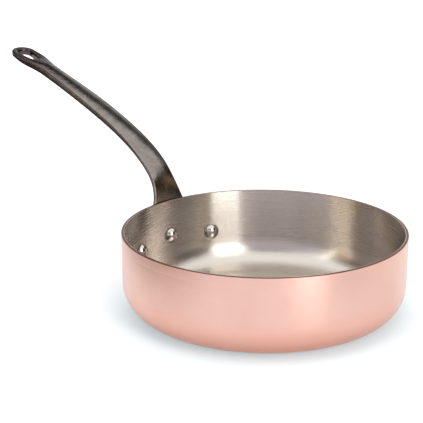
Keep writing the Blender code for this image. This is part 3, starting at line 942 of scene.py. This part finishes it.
card_paper = new_material("dark_card", Base_Color=linear("#7A7672"), Roughness=1.0,
                          Specular_IOR_Level=0.0)[0]
bm = bmesh.new()
bmesh.ops.create_grid(bm, x_segments=1, y_segments=1, size=CARD_SIZE / 2)
bmesh.ops.translate(bm, verts=bm.verts, vec=(0, -CARD_FROM_AXIS - CARD_SIZE / 2, CARD_LIFT))
bm.transform(Matrix.Rotation(math.radians(CAMERA_WAY), 4, "Z"))
card = add_object("dark_card", bm, card_paper)
card.visible_camera = False
card.visible_shadow = False
card.visible_diffuse = False
card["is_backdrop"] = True
print("the card is", CARD_SIZE, "m wide")

# %% [markdown]
# ## The room
#
# The metal mirrors the room all round, so the room's walls are told here by their direction as seen from
# the pan, in degrees to the right of the camera. A pale one stands behind the camera, with a warm one
# next to it on the left. Past a dark gap on the right stands another warm one, and the rest is dark.
# Behind the pan the metal mirrors a white backdrop instead, which darkens with height, here in degrees
# above the table. The ceiling is dark. The camera itself sees plain white.

# %% The room
GAP = "#1E1A15"
ROOM = ((-180, GAP), (-124, GAP), (-104, "#54442C"), (-90, "#2E261C"), (-82, "#C8A468"), (-62, "#CCAC78"),
        (-52, "#E0D8EA"), (19, "#E6DEF2"), (42, "#D0C6C4"), (50, "#94805F"), (56, GAP), (84, "#2A241E"),
        (92, "#B49C80"), (104, "#B49C80"), (112, GAP), (180, GAP))
BACKDROP = ((0, "#FFFFFF"), (18, "#FFFFFF"), (28, "#C8C8C8"), (38, "#5A5A5A"))
CEILING = "#1E1C1A"
BACKDROP_EDGE = {1: math.radians(125), 2: math.radians(150)}
CEILING_EDGE = {1: math.radians(25), 2: math.radians(42)}

world = bpy.data.worlds.new("studio")
bpy.context.scene.world = world
world.use_nodes = True
tree = world.node_tree
way = add_node(tree, "ShaderNodeTexCoord").outputs["Generated"]
parts = add_node(tree, "ShaderNodeSeparateXYZ", {0: way}).outputs
angle = add_node(tree, "ShaderNodeMath", {0: parts["Y"], 1: parts["X"]}, operation="ARCTAN2").outputs[0]
angle = add_node(tree, "ShaderNodeMath", {0: angle, 1: math.radians(CAMERA_WAY)}, operation="SUBTRACT")
angle = add_node(tree, "ShaderNodeMath", {0: angle.outputs[0], 1: math.pi, 2: -math.pi}, operation="WRAP")
share = add_node(tree, "ShaderNodeMapRange", {0: angle.outputs[0], 1: -math.pi, 2: math.pi}).outputs[0]
walls = add_node(tree, "ShaderNodeValToRGB", {0: share})
set_stops(walls, ROOM, -180, 180)
climb = add_node(tree, "ShaderNodeMath", {0: parts["Z"]}, operation="ARCSINE").outputs[0]
share = add_node(tree, "ShaderNodeMapRange", {0: climb, 1: 0.0, 2: math.pi / 2}).outputs[0]
sweep = add_node(tree, "ShaderNodeValToRGB", {0: share})
set_stops(sweep, BACKDROP, 0, 90)
aside = add_node(tree, "ShaderNodeMath", {0: angle.outputs[0]}, operation="ABSOLUTE").outputs[0]
behind = add_node(tree, "ShaderNodeMapRange", {0: aside, **BACKDROP_EDGE}).outputs[0]
around = add_node(tree, "ShaderNodeMix", {0: behind, 6: walls.outputs[0], 7: sweep.outputs[0]},
                  data_type="RGBA").outputs[2]
overhead = add_node(tree, "ShaderNodeMapRange", {0: climb, **CEILING_EDGE}).outputs[0]
around = add_node(tree, "ShaderNodeMix", {0: overhead, 6: around, 7: linear(CEILING)},
                  data_type="RGBA").outputs[2]
seen = add_node(tree, "ShaderNodeLightPath").outputs["Is Camera Ray"]
around = add_node(tree, "ShaderNodeMix", {0: seen, 6: around, 7: linear("#FFFFFF")},
                  data_type="RGBA").outputs[2]
tree.links.new(around, tree.nodes["Background"].inputs["Color"])
bpy.context.scene.view_settings.view_transform = "Standard"
print("the room has", len(ROOM), "marks round it and", len(BACKDROP), "up the backdrop")

# %% [markdown]
# ## Check the sizes
#
# The dressed pan's box is printed beside the CAD's box, axis by axis, in millimetres.

# %% Sizes
dressed_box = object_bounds()
for axis, low, high in zip("xyz", zip(cad_box[0], dressed_box[0]), zip(cad_box[1], dressed_box[1])):
    ends = [[round(value / MM, 2) for value in pair] for pair in (low, high)]
    print(axis, "CAD and dressed, low and high, in mm:", *ends)
